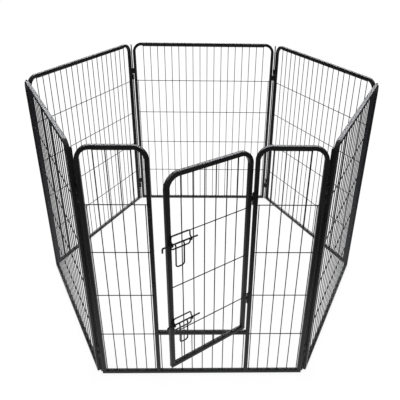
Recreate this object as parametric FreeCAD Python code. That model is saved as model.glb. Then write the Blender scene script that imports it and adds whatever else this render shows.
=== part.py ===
import FreeCAD, Part
import os
from math import sin, cos, tan, radians, acos
from FreeCAD import Vector

# Six-panel folding pet playpen, modelled standing open as a near-regular hexagon.
# Millimetres. Origin: middle of the front panel's bottom rail, on the floor.
# +Z up, +Y into the pen, +X to the right seen from the front.

# ---- panel ----
PANEL_W = 800.0            # outer width of a panel frame
PANEL_H = 990.0            # height of a panel
TUBE = 15.0                # outer side of the square tube
TUBE_WALL = 1.2
TUBE_EDGE_R = 1.5          # rounding of the tube's long edges
BEND_R = 52.0              # outer radius of the bent top corners
PIN_GAP = 6.4              # corner pin axis to the end of a frame
PIN_IN = 7.4               # corner pin axis inside a frame's middle plane
PITCH = PANEL_W + 2.0 * PIN_GAP
SIDE_ANGLE = 64.0          # a side panel's angle to the front panel's line

# ---- wire mesh ----
WIRE_R = 1.8
VERTICALS = 18             # full-height wires of a plain panel
LAST_VERTICAL = 341.0      # middle of the panel to the last full-height wire
SIDE_WIRE_GAP = 5.0        # short side wire to the upright's face
HORIZONTALS = 4            # horizontal wires between the uprights
H_SPACE = 190.5            # height between horizontal wires
BORDER_OVERHANG = 2.0      # border wire past the last vertical it crosses
BORDER_DROP = 2.6          # border wire below the top tube's underside

# ---- front panel and doorway ----
DOORWAY_HALF = 167.0       # middle of the doorway to a post's face
ARCH_W = PANEL_W / 2.0 - DOORWAY_HALF
ARCH_FIRST = 222.5         # middle of the panel to an arch's first vertical
ARCH_VERTICALS = 4
THRESHOLD_TOP = 223.0
THRESHOLD_VERTICALS = 9
THRESHOLD_PITCH = 40.1

# ---- door (s runs from the hinge axis to the free stile, t out of the front) ----
AXIS_X = 165.0             # hinge axis, in the middle of the gap
AXIS_PROUD = 3.0           # hinge axis in front of the frames' faces
AXIS_Y = -TUBE / 2.0 - AXIS_PROUD
DOOR_OPEN = 36.3           # how far the door stands open
DOOR_GAP = 2.0             # hinge axis to the door's edge
DOOR_W = 328.0
DOOR_BOTTOM = 243.0
DOOR_TOP = 984.0
DOOR_VERTICALS = 6
DOOR_WIRE_SHIFT = 2.0      # door's vertical wires off centre, towards the free stile
DOOR_LEVEL_DROP = 4.5      # door's horizontal wires below the panels' levels
DOOR_FACE_T = -AXIS_PROUD   # front face of the door frame
DOOR_T = DOOR_FACE_T - TUBE / 2.0  # middle plane of the door frame

# ---- door hinges ----
HINGE_H = 46.0
HINGE_BOTTOMS = (370.0, 785.0)
LEAF_T = 2.0
LEAF_REACH = 16.0          # hinge axis to the outer edge of a leaf
KNUCKLE_R = 3.2
HINGE_PIN_R = 1.5
HINGE_BORE_R = 1.56
KNUCKLE_H = 15.0           # height of an end knuckle
KNUCKLE_GAP = 0.3
RIVET_R = 2.4
RIVET_H = 0.8

# ---- slide bolts ----
BOLT_ROD_R = 2.8
BOLT_WIRE_R = 2.4
BOLT_T = 3.6               # rod axis in front of the hinge axis plane
BOLT_HEIGHTS = {"upper": 755.0, "lower": 440.0}
BOLT_SHIFT = {"upper": 0.0, "lower": -7.0}
GUIDE_TOP = {"upper": 28.0, "lower": 22.0}      # guide loop's top above the rod
GUIDE_HEIGHT = 48.0
GUIDE_NEAR = 250.5         # guide loop's side by the mesh
GUIDE_FAR = 319.0          # guide loop's side on the stile
GUIDE_CORNER_R = 7.0
GUIDE_T = DOOR_FACE_T + BOLT_WIRE_R
KINK_CLEAR = 0.2           # play between a kink and the rod
KINK_T = BOLT_T + BOLT_ROD_R + BOLT_WIRE_R + KINK_CLEAR
KINK_BASE = 9.0            # rod axis to where the kink leaves the loop
KINK_TOP = 3.0             # half of the kink's flat top
KINK_R = 3.0
ROD_NEAR = 224.0           # rod's plain end
ROD_FAR = 342.5            # where the rod meets its bent end
HOOK_REACH = 352.2
HOOK_DROP = 16.0
HOOK_R = 4.0
HANDLE_NEAR = 277.0
HANDLE_FAR = 307.3
HANDLE_DROP = 84.0
HANDLE_TOP_T = 7.5
HANDLE_LOW_T = 6.0
HANDLE_SHOULDER = 8.0
HANDLE_CORNER_R = 9.0
HANDLE_SHOULDER_R = 4.0
WELD_GAP = 0.02            # between a bolt's rod and its hook and handle

# ---- bolt keepers on the left post ----
KEEPER_X = -DOORWAY_HALF - TUBE / 2.0
KEEPER_HALF = 17.0
KEEPER_R = 4.0

# ---- corner pins and hinge straps ----
PIN_R = 3.0
PIN_TOP = 981.0
PIN_HEAD_R = 4.5           # bend radius of the pin's head
PIN_HEAD_REACH = 2.5       # straight length after the bend
STRAP_BORE_R = 3.06
STRAP_T = 2.0
STRAP_H = 30.0
STRAP_LOW = {"start": (784.0, 80.0), "end": (818.0, 114.0)}

UP = Vector(0, 0, 1)


def place(shape, origin, angle):
    """Turn a shape made in a panel's own frame about +Z and move it to its origin."""
    moved = shape.copy()
    turn = FreeCAD.Placement(origin, FreeCAD.Rotation(UP, angle))
    moved.Placement = turn.multiply(shape.Placement)
    return moved


def save(name, solids):
    shape = solids[0] if len(solids) == 1 else Part.makeCompound(solids)
    shape.exportStep("parts/" + name + ".step")


def fuse_all(solids):
    body = solids[0].multiFuse(solids[1:]) if len(solids) > 1 else solids[0]
    return body.removeSplitter().Solids[0]


# ---------------------------------------------------------------- square tube
def tube_bar(p, direction, length, side, edge_r):
    """Solid square bar along a unit direction that lies in the XZ plane."""
    bar = Part.makeBox(side, side, length, Vector(-side / 2.0, -side / 2.0, 0))
    if edge_r > 0:
        long_edges = [e for e in bar.Edges if abs(e.tangentAt(e.FirstParameter).z) > 0.9]
        bar = bar.makeFillet(edge_r, long_edges)
    bar.Placement = FreeCAD.Placement(p, FreeCAD.Rotation(UP, direction))
    return bar


def tube_bend(centre, start_angle, radius, side, edge_r):
    """Quarter turn of a square bar about an axis along Y; radius is the middle line's."""
    bar = tube_bar(Vector(radius, 0, 0), UP, 1.0, side, edge_r)
    end = [f for f in bar.Faces if abs(f.CenterOfMass.z) < 1e-6][0]
    bend = end.revolve(Vector(0, 0, 0), Vector(0, -1, 0), 90)
    bend.Placement = FreeCAD.Placement(centre, FreeCAD.Rotation(Vector(0, -1, 0), start_angle))
    return Part.Solid(bend.Shells[0]) if not bend.Solids else bend.Solids[0]


def arch_core(x0, x1, z0, z1, side, edge_r):
    """Upside-down U of solid square bar whose outer faces are at x0, x1 and z1."""
    inset = TUBE / 2.0
    mid_r = BEND_R - inset
    leg = z1 - BEND_R - z0
    pieces = [
        tube_bar(Vector(x0 + inset, 0, z0), UP, leg, side, edge_r),
        tube_bar(Vector(x1 - inset, 0, z0), UP, leg, side, edge_r),
        tube_bar(Vector(x0 + BEND_R, 0, z1 - inset), Vector(1, 0, 0),
                 x1 - x0 - 2.0 * BEND_R, side, edge_r),
        tube_bend(Vector(x1 - BEND_R, 0, z1 - BEND_R), 0, mid_r, side, edge_r),
        tube_bend(Vector(x0 + BEND_R, 0, z1 - BEND_R), 90, mid_r, side, edge_r),
    ]
    return fuse_all(pieces)


def arch(x0, x1, z0, z1):
    """Bent frame of hollow square tube, open at its two feet."""
    outer = arch_core(x0, x1, z0, z1, TUBE, TUBE_EDGE_R)
    inner = arch_core(x0, x1, z0, z1, TUBE - 2.0 * TUBE_WALL, 0)
    return outer.cut(inner).Solids[0]


def rail(x0, x1, z0):
    """Straight hollow tube along X with its underside at z0."""
    start = Vector(x0, 0, z0 + TUBE / 2.0)
    along = Vector(1, 0, 0)
    outer = tube_bar(start, along, x1 - x0, TUBE, TUBE_EDGE_R)
    inner = tube_bar(start, along, x1 - x0, TUBE - 2.0 * TUBE_WALL, 0)
    return outer.cut(inner).Solids[0]


# ---------------------------------------------------------------- wire mesh
def upright_wires(xs, z0, z1):
    """Vertical wires, in the layer facing out of the pen."""
    return [Part.makeCylinder(WIRE_R, z1 - z0, Vector(x, -WIRE_R, z0)) for x in xs]


def level_wires(x0, x1, zs):
    """Horizontal wires, in the layer facing into the pen."""
    return [Part.makeCylinder(WIRE_R, x1 - x0, Vector(x0, WIRE_R, z), Vector(1, 0, 0)) for z in zs]


def wire_levels(count):
    return [TUBE + H_SPACE * (k + 1) for k in range(count)]


def spread(first, last, count):
    step = (last - first) / (count - 1)
    return [first + step * k for k in range(count)]


def mesh(x0, x1, first, last, count):
    """Wires of one frame between upright faces x0 and x1: (vertical, horizontal)."""
    levels = wire_levels(HORIZONTALS)
    verticals = upright_wires(spread(first, last, count), TUBE, PANEL_H - TUBE)
    sides = (x0 + SIDE_WIRE_GAP, x1 - SIDE_WIRE_GAP)
    verticals += upright_wires(sides, TUBE, levels[-1] + WIRE_R)
    horizontals = level_wires(x0, x1, levels)
    border = PANEL_H - TUBE - BORDER_DROP
    horizontals += level_wires(first - BORDER_OVERHANG, last + BORDER_OVERHANG, [border])
    return verticals, horizontals


# ---------------------------------------------------------------- bent round wire
def wire_path(points, bends):
    """Lines joined by arcs. points: corner list; bends: radius at each inner corner."""
    edges = []
    last = points[0]
    for i in range(1, len(points) - 1):
        a = (points[i - 1] - points[i]).normalize()
        b = (points[i + 1] - points[i]).normalize()
        turn = acos(max(-1.0, min(1.0, a.dot(b))))
        reach = bends[i - 1] / tan(turn / 2.0)
        start = points[i] + a * reach
        end = points[i] + b * reach
        inward = (a + b).normalize()
        middle = points[i] + inward * (bends[i - 1] / sin(turn / 2.0) - bends[i - 1])
        if (start - last).Length > 1e-6:
            edges.append(Part.makeLine(last, start))
        edges.append(Part.Arc(start, middle, end).toShape())
        last = end
    if (points[-1] - last).Length > 1e-6:
        edges.append(Part.makeLine(last, points[-1]))
    return Part.Wire(edges)


def bent_wire(points, bends, radius):
    path = wire_path(points, bends)
    heading = (points[1] - points[0]).normalize()
    section = Part.Wire(Part.makeCircle(radius, points[0], heading))
    return path.makePipeShell([section], True, False).Solids[0]


# ---------------------------------------------------------------- corner hinges
def strap(x_pin, z0, side):
    """Strip rolled round a corner pin, its tail on the end of the tube; side +1: at larger x."""
    outer_r = STRAP_BORE_R + STRAP_T
    axis = Vector(x_pin, PIN_IN, z0)
    x_tail = x_pin if side > 0 else x_pin - PIN_GAP
    eye = Part.makeCylinder(outer_r, STRAP_H, axis)
    tail = Part.makeBox(PIN_GAP, STRAP_T, STRAP_H, Vector(x_tail, PIN_IN - outer_r, z0))
    bore = Part.makeCylinder(STRAP_BORE_R, STRAP_H, axis)
    return eye.fuse(tail).cut(bore).removeSplitter().Solids[0]


def straps():
    """The four straps of one panel, its pins at x = -PITCH/2 and +PITCH/2."""
    half = PITCH / 2.0
    made = [strap(-half, z, 1) for z in STRAP_LOW["start"]]
    return made + [strap(half, z, -1) for z in STRAP_LOW["end"]]


def corner_pin():
    """Full-height rod standing on the floor, its head bent over sideways."""
    top = PIN_TOP - PIN_R
    reach = PIN_HEAD_R + PIN_HEAD_REACH
    points = [Vector(0, 0, 0), Vector(0, 0, top), Vector(0, -reach, top)]
    return bent_wire(points, [PIN_HEAD_R], PIN_R)


# ---------------------------------------------------------------- plain panel
def plain_panel(name, origin, angle):
    half = PANEL_W / 2.0
    face = half - TUBE
    verticals, horizontals = mesh(-face, face, -LAST_VERTICAL, LAST_VERTICAL, VERTICALS)
    nodes = {
        "frame": [arch(-half, half, TUBE, PANEL_H)],
        "bottom_rail": [rail(-half, half, 0)],
        "vertical_wires": verticals,
        "horizontal_wires": horizontals,
        "hinge_straps": straps(),
    }
    for node, solids in nodes.items():
        save(name + "_" + node, [place(s, origin, angle) for s in solids])


# ---------------------------------------------------------------- front panel
def mirrored(solids):
    return [s.mirror(Vector(0, 0, 0), Vector(1, 0, 0)) for s in solids]


def keeper(z):
    """Wire staple on the post's front face that the bolt slides through."""
    face = -TUBE / 2.0
    front = AXIS_Y - KINK_T
    points = [
        Vector(KEEPER_X, face, z + KEEPER_HALF),
        Vector(KEEPER_X, front, z + KEEPER_HALF),
        Vector(KEEPER_X, front, z - KEEPER_HALF),
        Vector(KEEPER_X, face, z - KEEPER_HALF),
    ]
    return bent_wire(points, [KEEPER_R, KEEPER_R], BOLT_WIRE_R)


def leaf(side, z0, end_knuckles):
    """Hinge leaf in the hinge axis frame; side +1: on the post, -1: on the door."""
    y_face = -AXIS_Y - TUBE / 2.0
    knuckle_zs = [z0, z0 + HINGE_H - KNUCKLE_H] if end_knuckles else [z0 + KNUCKLE_H + KNUCKLE_GAP]
    knuckle_h = KNUCKLE_H if end_knuckles else HINGE_H - 2.0 * (KNUCKLE_H + KNUCKLE_GAP)
    clear = KNUCKLE_R + KNUCKLE_GAP
    x0 = clear if side > 0 else -LEAF_REACH
    plate = Part.makeBox(LEAF_REACH - clear, LEAF_T, HINGE_H, Vector(x0, y_face - LEAF_T, z0))
    pieces = [plate]
    for z in knuckle_zs:
        pieces.append(Part.makeCylinder(KNUCKLE_R, knuckle_h, Vector(0, 0, z)))
        x_tab = 0 if side > 0 else -clear
        pieces.append(Part.makeBox(clear, LEAF_T, knuckle_h, Vector(x_tab, y_face - LEAF_T, z)))
    solid = fuse_all(pieces)
    for z in knuckle_zs:
        solid = solid.cut(Part.makeCylinder(HINGE_BORE_R, knuckle_h, Vector(0, 0, z)))
    return solid.removeSplitter().Solids[0]


def hinge_pin(z0):
    pin = Part.makeCylinder(HINGE_PIN_R, HINGE_H, Vector(0, 0, z0))
    low = Part.makeCylinder(RIVET_R, RIVET_H, Vector(0, 0, z0 - RIVET_H))
    high = Part.makeCylinder(RIVET_R, RIVET_H, Vector(0, 0, z0 + HINGE_H))
    return fuse_all([pin, low, high])


def front_panel():
    half = PANEL_W / 2.0
    threshold = THRESHOLD_TOP - TUBE
    save("front_bottom_rail", [rail(-half, half, 0)])
    save("front_threshold_rail", [rail(-DOORWAY_HALF, DOORWAY_HALF, threshold)])
    right_arch = [arch(DOORWAY_HALF, half, TUBE, PANEL_H)]
    verticals, horizontals = mesh(DOORWAY_HALF + TUBE, half - TUBE,
                                  ARCH_FIRST, LAST_VERTICAL, ARCH_VERTICALS)
    save("front_right_arch", right_arch)
    save("front_left_arch", mirrored(right_arch))
    save("front_right_vertical_wires", verticals)
    save("front_left_vertical_wires", mirrored(verticals))
    save("front_right_horizontal_wires", horizontals)
    save("front_left_horizontal_wires", mirrored(horizontals))
    last = THRESHOLD_PITCH * (THRESHOLD_VERTICALS - 1) / 2.0
    save("front_threshold_wires",
         upright_wires(spread(-last, last, THRESHOLD_VERTICALS), TUBE, threshold))
    save("front_hinge_straps", straps())
    save("bolt_keepers", [keeper(z) for z in BOLT_HEIGHTS.values()])
    axis = Vector(AXIS_X, AXIS_Y, 0)
    save("door_fixed_hinge_leaves", [place(leaf(1, z, True), axis, 0) for z in HINGE_BOTTOMS])
    save("door_hinge_pins", [place(hinge_pin(z), axis, 0) for z in HINGE_BOTTOMS])


# ---------------------------------------------------------------- door
def on_door(solids):
    """From the door's closed frame (x = -s, y = -t from the hinge axis) to the open door."""
    return [place(s, Vector(AXIS_X, AXIS_Y, 0), DOOR_OPEN) for s in solids]


def door_point(s, t, z):
    return Vector(-s, -t, z)


def shifted(solids, dy):
    for s in solids:
        s.translate(Vector(0, dy, 0))
    return solids


def door():
    far = -DOOR_GAP - DOOR_W
    near = -DOOR_GAP
    plane = -DOOR_T
    bottom_face = DOOR_BOTTOM + TUBE
    space = (DOOR_W - 2.0 * TUBE) / (DOOR_VERTICALS + 1)
    first = far + TUBE + space - DOOR_WIRE_SHIFT
    last = near - TUBE - space - DOOR_WIRE_SHIFT
    levels = [z - DOOR_LEVEL_DROP for z in wire_levels(HORIZONTALS)[1:]]
    frame = [arch(far, near, bottom_face, DOOR_TOP)]
    verticals = upright_wires(spread(first, last, DOOR_VERTICALS), bottom_face, DOOR_TOP - TUBE)
    save("door_frame", on_door(shifted(frame, plane)))
    save("door_bottom_rail", on_door(shifted([rail(far, near, DOOR_BOTTOM)], plane)))
    save("door_vertical_wires", on_door(shifted(verticals, plane)))
    save("door_horizontal_wires",
         on_door(shifted(level_wires(far + TUBE, near - TUBE, levels), plane)))
    save("door_moving_hinge_leaves", on_door([leaf(-1, z, False) for z in HINGE_BOTTOMS]))


# ---------------------------------------------------------------- slide bolts
def kinked_side(s, z_rod):
    """Corner points of a guide side that steps forward over the rod, from top down."""
    return [
        door_point(s, GUIDE_T, z_rod + KINK_BASE),
        door_point(s, KINK_T, z_rod + KINK_TOP),
        door_point(s, KINK_T, z_rod - KINK_TOP),
        door_point(s, GUIDE_T, z_rod - KINK_BASE),
    ]


def guide(which):
    """Rounded rectangle of wire, both of its short sides kinked over the rod."""
    z_rod = BOLT_HEIGHTS[which]
    top = z_rod + GUIDE_TOP[which]
    low = top - GUIDE_HEIGHT
    middle = (GUIDE_NEAR + GUIDE_FAR) / 2.0
    points = [door_point(middle, GUIDE_T, top), door_point(GUIDE_NEAR, GUIDE_T, top)]
    points += kinked_side(GUIDE_NEAR, z_rod)
    points += [door_point(GUIDE_NEAR, GUIDE_T, low), door_point(GUIDE_FAR, GUIDE_T, low)]
    points += reversed(kinked_side(GUIDE_FAR, z_rod))
    points += [door_point(GUIDE_FAR, GUIDE_T, top), door_point(middle, GUIDE_T, top)]
    kink = [KINK_R] * 4
    bends = [GUIDE_CORNER_R] + kink + [GUIDE_CORNER_R, GUIDE_CORNER_R] + kink + [GUIDE_CORNER_R]
    return bent_wire(points, bends, BOLT_WIRE_R)


def bolt_rod(which):
    z_rod = BOLT_HEIGHTS[which]
    shift = BOLT_SHIFT[which]
    start = door_point(ROD_NEAR + shift, BOLT_T, z_rod)
    return Part.makeCylinder(BOLT_ROD_R, ROD_FAR - ROD_NEAR, start, Vector(-1, 0, 0))


def bolt_hook(which):
    """The rod's bent end, hanging down past the stile."""
    z_rod = BOLT_HEIGHTS[which]
    shift = BOLT_SHIFT[which]
    points = [
        door_point(ROD_FAR + WELD_GAP + shift, BOLT_T, z_rod),
        door_point(HOOK_REACH + shift, BOLT_T, z_rod),
        door_point(HOOK_REACH + shift, BOLT_T, z_rod - HOOK_DROP),
    ]
    return bent_wire(points, [HOOK_R], BOLT_ROD_R)


def bolt_handle(which):
    """U of wire hanging from the rod, its ends shaped to the rod."""
    z_rod = BOLT_HEIGHTS[which]
    shift = BOLT_SHIFT[which]
    near = HANDLE_NEAR + shift
    far = HANDLE_FAR + shift
    shoulder = z_rod - HANDLE_SHOULDER
    low = z_rod - HANDLE_DROP
    points = [
        door_point(near, BOLT_T, z_rod),
        door_point(near, HANDLE_TOP_T, shoulder),
        door_point(near, HANDLE_LOW_T, low),
        door_point(far, HANDLE_LOW_T, low),
        door_point(far, HANDLE_TOP_T, shoulder),
        door_point(far, BOLT_T, z_rod),
    ]
    bends = [HANDLE_SHOULDER_R, HANDLE_CORNER_R, HANDLE_CORNER_R, HANDLE_SHOULDER_R]
    wire = bent_wire(points, bends, BOLT_WIRE_R)
    rod = Part.makeCylinder(BOLT_ROD_R + WELD_GAP, ROD_FAR - ROD_NEAR + 2.0 * HANDLE_SHOULDER,
                            door_point(ROD_NEAR + shift, BOLT_T, z_rod), Vector(-1, 0, 0))
    pieces = wire.cut(rod).Solids
    return max(pieces, key=lambda p: p.Volume)


def bolts():
    for which in BOLT_HEIGHTS:
        save(which + "_bolt_guide", on_door([guide(which)]))
        save(which + "_bolt_rod", on_door([bolt_rod(which)]))
        save(which + "_bolt_hook", on_door([bolt_hook(which)]))
        save(which + "_bolt_handle", on_door([bolt_handle(which)]))


# ---------------------------------------------------------------- the hexagon
def corners():
    """Pin positions, symmetric about the YZ plane."""
    half = PITCH / 2.0
    out = PITCH * cos(radians(SIDE_ANGLE))
    back = PITCH * sin(radians(SIDE_ANGLE))
    return {
        "front_left": Vector(-half, PIN_IN, 0),
        "front_right": Vector(half, PIN_IN, 0),
        "right": Vector(half + out, PIN_IN + back, 0),
        "back_right": Vector(half, PIN_IN + 2.0 * back, 0),
        "back_left": Vector(-half, PIN_IN + 2.0 * back, 0),
        "left": Vector(-half - out, PIN_IN + back, 0),
    }


def side_panels(at):
    """Each plain panel runs anticlockwise from one pin to the next."""
    spans = {
        "right_front": ("front_right", "right", SIDE_ANGLE),
        "right_back": ("right", "back_right", 180.0 - SIDE_ANGLE),
        "back": ("back_right", "back_left", 180.0),
        "left_back": ("back_left", "left", 180.0 + SIDE_ANGLE),
        "left_front": ("left", "front_left", -SIDE_ANGLE),
    }
    for name, (start, end, angle) in spans.items():
        inward = Vector(-sin(radians(angle)), cos(radians(angle)), 0)
        plain_panel(name, (at[start] + at[end]) * 0.5 - inward * PIN_IN, angle)


def corner_pins(at):
    """Heads point out of the pen, along the line from the middle of the hexagon."""
    middle = Vector(0, PIN_IN + PITCH * sin(radians(SIDE_ANGLE)), 0)
    for name, p in at.items():
        out = p - middle
        angle = FreeCAD.Rotation(Vector(0, -1, 0), out).toEuler()[0]
        save("corner_pin_" + name, [place(corner_pin(), p, angle)])


os.makedirs("parts", exist_ok=True)
at = corners()
front_panel()
door()
bolts()
side_panels(at)
corner_pins(at)
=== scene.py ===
import math
import random

import bmesh
import bpy
import numpy as np
from mathutils import Matrix, Vector

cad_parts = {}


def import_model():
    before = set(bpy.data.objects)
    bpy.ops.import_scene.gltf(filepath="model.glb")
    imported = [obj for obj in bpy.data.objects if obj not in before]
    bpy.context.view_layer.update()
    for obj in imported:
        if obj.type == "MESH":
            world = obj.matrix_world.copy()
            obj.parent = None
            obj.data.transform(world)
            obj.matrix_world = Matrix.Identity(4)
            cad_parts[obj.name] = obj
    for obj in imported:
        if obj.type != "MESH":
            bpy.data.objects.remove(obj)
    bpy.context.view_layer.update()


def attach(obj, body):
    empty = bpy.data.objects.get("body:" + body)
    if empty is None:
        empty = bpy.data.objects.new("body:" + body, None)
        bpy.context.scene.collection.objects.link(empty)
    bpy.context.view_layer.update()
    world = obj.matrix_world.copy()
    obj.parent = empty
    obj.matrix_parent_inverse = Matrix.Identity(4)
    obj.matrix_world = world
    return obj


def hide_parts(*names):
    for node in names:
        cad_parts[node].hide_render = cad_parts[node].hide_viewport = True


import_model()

MM = 0.001
RNG = random.Random(7)

# ---- sizes in millimetres, the same as the CAD's ----
# panels: frame tube, corner pin's place beside it, angle of the side panels to the front one
PANEL_W, PANEL_H, TUBE = 800.0, 990.0, 15.0
TUBE_EDGE_R, BEND_R = 2.0, 52.0
PIN_GAP, PIN_IN, SIDE_ANGLE = 6.4, 7.4, 64.0
PITCH = PANEL_W + 2 * PIN_GAP
# mesh of wires
WIRE_R = 1.8
VERTICALS, LAST_VERTICAL = 18, 341.0
SIDE_WIRE_GAP, HORIZONTALS, H_SPACE = 5.0, 4, 190.5
BORDER_OVERHANG, BORDER_DROP = 2.0, 2.6
# front panel: doorway, arches beside it, threshold under it
DOORWAY_HALF, ARCH_FIRST, ARCH_VERTICALS = 167.0, 222.5, 4
THRESHOLD_TOP, THRESHOLD_VERTICALS, THRESHOLD_PITCH = 223.0, 9, 40.1
# door and its hinges; a T is how far a thing stands out from the hinge axis, inward if negative
AXIS_PROUD = 3.0
AXIS_X, AXIS_Y = 165.0, -TUBE / 2 - AXIS_PROUD
DOOR_OPEN, DOOR_GAP, DOOR_W, DOOR_LEVEL_DROP = 36.3, 2.0, 328.0, 4.5
DOOR_BOTTOM, DOOR_TOP, DOOR_VERTICALS, DOOR_WIRE_SHIFT = 243.0, 984.0, 6, 2.0
DOOR_T, DOOR_FACE_T = -AXIS_PROUD - TUBE / 2, -AXIS_PROUD
HINGE_H, HINGE_BOTTOMS, LEAF_T, LEAF_REACH = 46.0, (370.0, 785.0), 2.0, 16.0
KNUCKLE_R, KNUCKLE_H, KNUCKLE_GAP = 3.2, 15.0, 0.3
HINGE_PIN_R, RIVET_R, RIVET_H = 1.5, 2.4, 0.8
# bolts: NEAR, FAR and REACH run along the door from the hinge axis
BOLT_ROD_R, BOLT_WIRE_R, BOLT_T = 2.8, 2.4, 3.6
BOLT_HEIGHTS = {"upper": 755.0, "lower": 440.0}
BOLT_SHIFT = {"upper": 0.0, "lower": -7.0}
GUIDE_TOP, GUIDE_HEIGHT = {"upper": 28.0, "lower": 22.0}, 48.0
GUIDE_NEAR, GUIDE_FAR, GUIDE_CORNER_R = 250.5, 319.0, 7.0
GUIDE_T = DOOR_FACE_T + BOLT_WIRE_R
KINK_BASE, KINK_TOP, KINK_R, KINK_CLEAR = 9.0, 3.0, 3.0, 0.2
KINK_T = BOLT_T + BOLT_ROD_R + BOLT_WIRE_R + KINK_CLEAR
ROD_NEAR, ROD_FAR, ROD_GAP, ROD_DOME = 224.0, 342.5, 0.3, 1.5
HOOK_REACH, HOOK_DROP, HOOK_R = 352.2, 16.0, 4.0
HANDLE_NEAR, HANDLE_FAR, HANDLE_DROP = 277.0, 307.3, 84.0
HANDLE_TOP_T, HANDLE_LOW_T, HANDLE_SHOULDER = 7.5, 6.0, 8.0
HANDLE_CORNER_R, HANDLE_SHOULDER_R = 9.0, 4.0
KEEPER_X, KEEPER_HALF, KEEPER_R = -DOORWAY_HALF - TUBE / 2, 17.0, 4.0
# corner pins and the hinge straps rolled round them
PIN_R, PIN_TOP, PIN_HEAD_R, PIN_HEAD_REACH, PIN_DOME = 3.0, 981.0, 4.5, 2.5, 1.9
STRAP_BORE_R, STRAP_T, STRAP_H, STRAP_EDGE = 3.06, 2.0, 30.0, 0.5
STRAP_BOTTOMS = {"start": (784.0, 80.0), "end": (818.0, 114.0)}
EYE_STEPS, EYE_SWEEP = 28, 302.0

# ---- studio, in metres and degrees ----
FLOOR_REACH, FLOOR_DROP = 60.0, 0.0002
PAPER, PAPER_GLOW = 0.15, 0.87             # floor: how much it scatters, and its own light
SHEET_FADE = (0.8, 1.9, 0.62, 0.05)        # floor in reflections: from, to (m), brightness there
ROOM_DIM, SCREEN_LIGHT = 0.07, 11.0        # reflections: dim room, and the screen behind the pen
ROOM_TINT = (0.95, 0.96, 1, 1)
SCREEN_FOOT, SCREEN_HEAD = (0.30, 0.41), (0.44, 0.50)  # height it fades in and out at, as a sine
SCREEN_TURN = (0.2, 0.7)                   # how far it reaches round to the sides
SOFTBOX_AT, SOFTBOX_AIM = (0.0, 1.5, 4.5), (0.0, 0.7, 0.0)
SOFTBOX_SIZE, SOFTBOX_POWER = (4.0, 4.0), 20.0
CAMERA_AT, CAMERA_YAW, CAMERA_PITCH, CAMERA_ROLL = (0.0046, -1.4353, 1.5906), 1.654, 29.778, 1.0
LENS, SENSOR, SHIFT_X, SHIFT_Y, SIGHT = 45.09, 36.0, -0.041, 0.0185, 200.0

# ---- detail the CAD doesn't carry ----
WIRE_SIDES, BOLT_WIRE_SIDES, ROD_SIDES, KNUCKLE_SIDES, WELD_SIDES = 10, 14, 16, 20, 8
ARC_STEP, ARC_STEPS_LEAST = 12.0, 3        # a bent wire's rings: degrees between them, fewest
SAME_POINT = 0.05                          # points closer than this are one
DOME_LEVELS, DOME_REACH = (0.35, 0.7, 0.92), 0.6
EDGE_STEPS = 4                             # steps round a tube's rounded edge
BEND_STEPS = 30                            # rings round a bent corner
CRIMPS, CRIMP_DEPTH, CRIMP_FADE = 5, 1.1, 5  # folds pressed into the inside of a bend
CRIMP_AT_EDGE = 0.55                       # share of the depth at the wall's edges
CHEEK_TUCK = 0.02                          # how far a fold draws the tube's cheeks in, as a share
RAIL_CROWN = ((0.0, 0.9), (0.5, 0.985), (1.4, 1.0))  # from a rail's end: distance, size there
BEAD_R, BEAD_PITCH = 1.5, 1.7              # weld bead, and the length of one ripple of it
BEAD_BASE, BEAD_RIPPLE, BEAD_UNEVEN, BEAD_PHASE = 0.82, 0.2, 0.1, 6.28
BEAD_TIP, BEAD_BLUNT = 0.04, 6             # a bead's ends: least size, and how late they narrow
BEAD_IN = 1.5                              # a bead stops this far from the end of its seam
DAB_R, DAB_H, DAB_UNEVEN = 2.6, 1.3, 0.3   # weld dab at a wire's end
DAB_PROFILE = ((0.9, -0.3), (1.0, 0.0), (0.85, 0.45), (0.62, 0.85), (0.45, 1.2))
NUGGET_R, NUGGET_LEVELS = 2.3, (-0.9, -0.5, 0.0, 0.5, 0.9)  # spot weld where wires cross
NUGGET_WIDTH, NUGGET_LENGTH = 0.95, 1.1
FOOT_SHARE, FOOT_FACE_R, FOOT_RISE = 0.80, 1.15, 0.2  # beads round an upright's foot
SILL_TUCK, SILL_WELD_Y, SILL_WELD_R = 0.2, 6.6, 1.3  # beads at the threshold rail's ends
KEEPER_DAB_R, KEEPER_DAB_H = 3.0, 1.4
TAIL_WELD_R, TAIL_TUCK = 1.3, 0.3          # beads along a strap's tail
LEAF_EDGE, BACK_EDGE, LEAF_CORNER_R = 0.5, 0.4, 1.0  # broken edges; BACK_EDGE is a share of them
LEAF_WELD_R, LEAF_END_WELD_R = 1.1, 1.0    # beads along a hinge leaf's far edge and its ends
LEAF_WELD_TUCK, LEAF_WELD_OUT, LEAF_WELD_IN = 0.2, 0.6, 2.0
TAB_LAP, TAB_BACK, TAB_EDGE = 0.6, 0.02, 0.3  # the tab that joins a knuckle to its leaf
KNUCKLE_CROWN, KNUCKLE_BREAK = 0.9, 0.4
RIVET_CROWN, RIVET_STEP = 0.7, 0.01
GRIP_SINK, GRIP_DROP = 0.9, 1.9            # where the handle's legs start in the rod
GRIP_WELD_HALF, GRIP_WELD_T, GRIP_WELD_DROP, GRIP_WELD_R = 2.4, 1.4, 2.0, 1.2
GUIDE_WELD_OUT, GUIDE_WELD_RISE, GUIDE_WELD_R, GUIDE_WELD_IN = 1.9, 0.6, 1.3, 7.0
SHARP, SHARP_STRAP, SHARP_WELD = 40.0, 50.0, 80.0  # degrees an edge stays sharp from

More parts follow.
